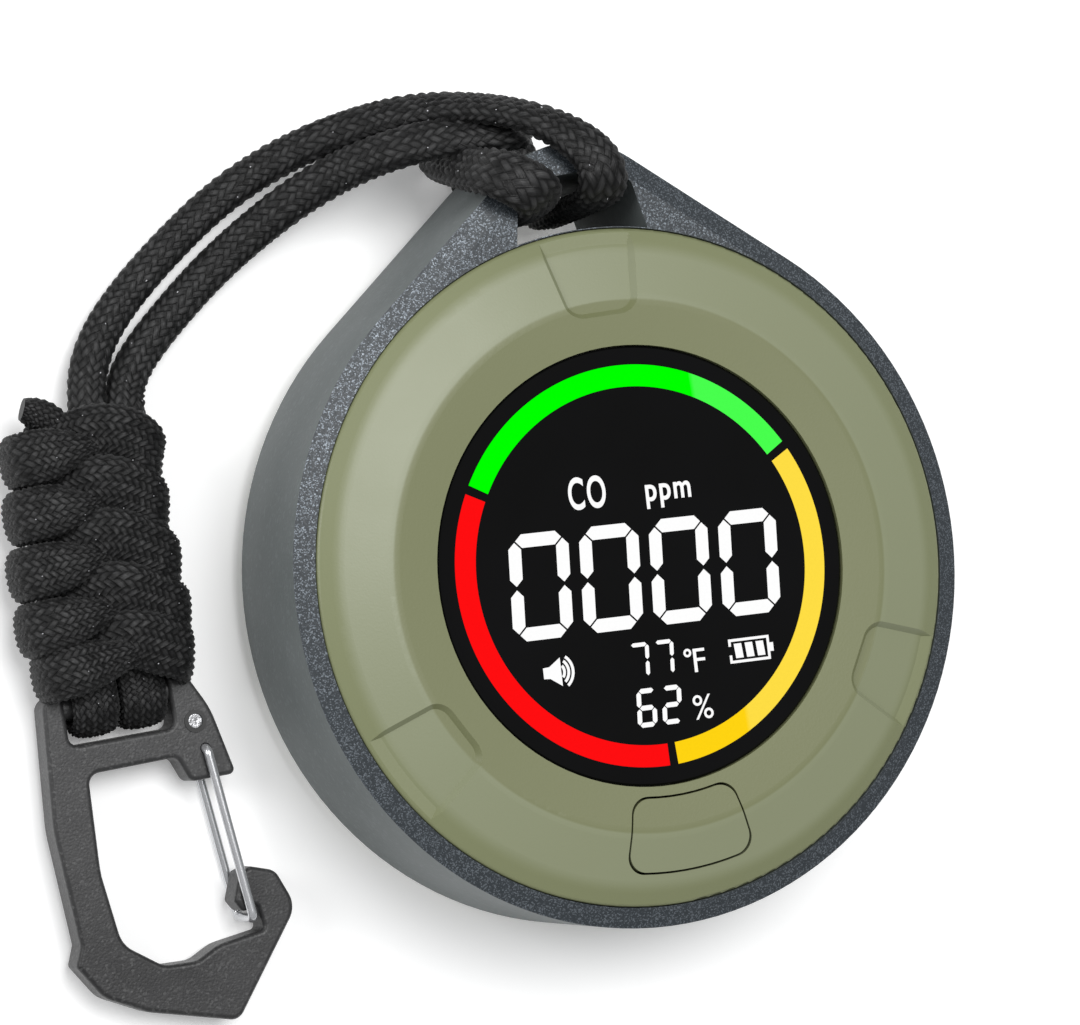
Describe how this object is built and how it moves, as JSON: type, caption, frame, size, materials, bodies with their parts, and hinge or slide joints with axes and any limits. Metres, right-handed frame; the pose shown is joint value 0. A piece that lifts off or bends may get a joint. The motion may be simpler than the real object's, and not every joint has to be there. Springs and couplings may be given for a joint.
{
  "type": "carbon dioxide monitor",
  "caption": "Round handheld gas monitor with a lit display, one button, a magnetic back, vents, a lanyard loop, and a braided lanyard with a plastic carabiner.",
  "frame": {"origin": "centre of the flat magnet pad's face on the back, on which the monitor lies", "axes": "+Z out of the display, +Y towards the lanyard loop, +X to the right as the display is read"},
  "size_m": [0.0979, 0.0909, 0.0245],
  "materials": {
    "frame_plastic": "fine-textured moulded plastic wall, metallic flake on the bevelled front face",
    "cover_plastic": "soft-touch olive green",
    "lens_black": "black display window with lit symbols",
    "tape_black": "double-sided foam tape",
    "panel_dark": "display cell",
    "light_white": "white light guide frame",
    "ribbon_amber": "flexible printed circuit",
    "switch_black": "small switch housing",
    "stem_brown": "switch plunger",
    "board_green": "solder mask over glass-fibre board",
    "chip_black": "chip packages",
    "screw_black": "black oxide cross-head screws",
    "sensor_steel": "sensor can",
    "sensor_gold": "plated sensor cap",
    "socket_steel": "stamped connector shell",
    "magnet_nickel": "nickel-plated magnet",
    "plate_steel": "zinc-plated steel",
    "battery_foil": "pouch cell foil",
    "lead_red": "insulated leads",
    "connector_white": "board connector",
    "mesh_black": "woven dust mesh",
    "cord_black": "braided polyester paracord",
    "carabiner_plastic": "spark-textured glass-filled nylon",
    "wire_chrome": "polished steel wire"
  },
  "bodies": {
    "housing": {"mid_frame": "frame_plastic", "front_cover": "cover_plastic", "back_cover": "cover_plastic", "display_lens": "lens_black", "lens_adhesive": "tape_black", "display_panel": "panel_dark", "display_backlight": "light_white", "display_ribbon": "ribbon_amber", "tact_switch": "switch_black", "main_board": "board_green", "board_chips": "chip_black", "board_screws": "screw_black", "co_sensor": "sensor_steel", "co2_sensor": "sensor_gold", "climate_sensor": "chip_black", "buzzer": "switch_black", "usb_socket": "socket_steel", "usb_tongue": "switch_black", "magnet": "magnet_nickel", "magnet_plate": "plate_steel", "battery_tape": "tape_black", "battery": "battery_foil", "battery_leads": "lead_red", "battery_connector": "connector_white", "vent_mesh": "mesh_black", "case_screws": "screw_black", "lanyard_strand_outer": "cord_black", "lanyard_hitch": "cord_black", "lanyard_strand_inner": "cord_black", "lanyard_knot": "cord_black", "lanyard_eye": "cord_black"},
    "button": {"button_cap": "cover_plastic"},
    "switch_stem": {"tact_switch_stem": "stem_brown"},
    "carabiner": {"carabiner_body": "carabiner_plastic", "gate_rivet": "wire_chrome"},
    "gate": {"gate_wire": "wire_chrome"}
  },
  "joints": [
    {"name": "button_press", "type": "slide", "parent": "housing", "child": "button", "axis": [0, 0, -1], "range_m": [0, 0.0006], "stiffness_N_per_m": 3000, "springref_m": -0.0001},
    {"name": "switch_press", "type": "slide", "parent": "housing", "child": "switch_stem", "axis": [0, 0, -1], "range_m": [0, 0.0006]},
    {"name": "carabiner_swing", "type": "hinge", "parent": "housing", "child": "carabiner", "pos_m": [-0.0522, -0.0045, 0.0034], "axis": [-1, 0, 0], "range_deg": [0, 60]},
    {"name": "gate_open", "type": "hinge", "parent": "carabiner", "child": "gate", "pos_m": [-0.0439, -0.011, 0.00305], "axis": [0, 0, -1], "range_deg": [0, 28], "stiffness_Nm_per_rad": 0.02, "springref_deg": -11.46}
  ],
  "couplings": [
    {"joint": "switch_press", "follows": "button_press", "ratio": 1}
  ]
}
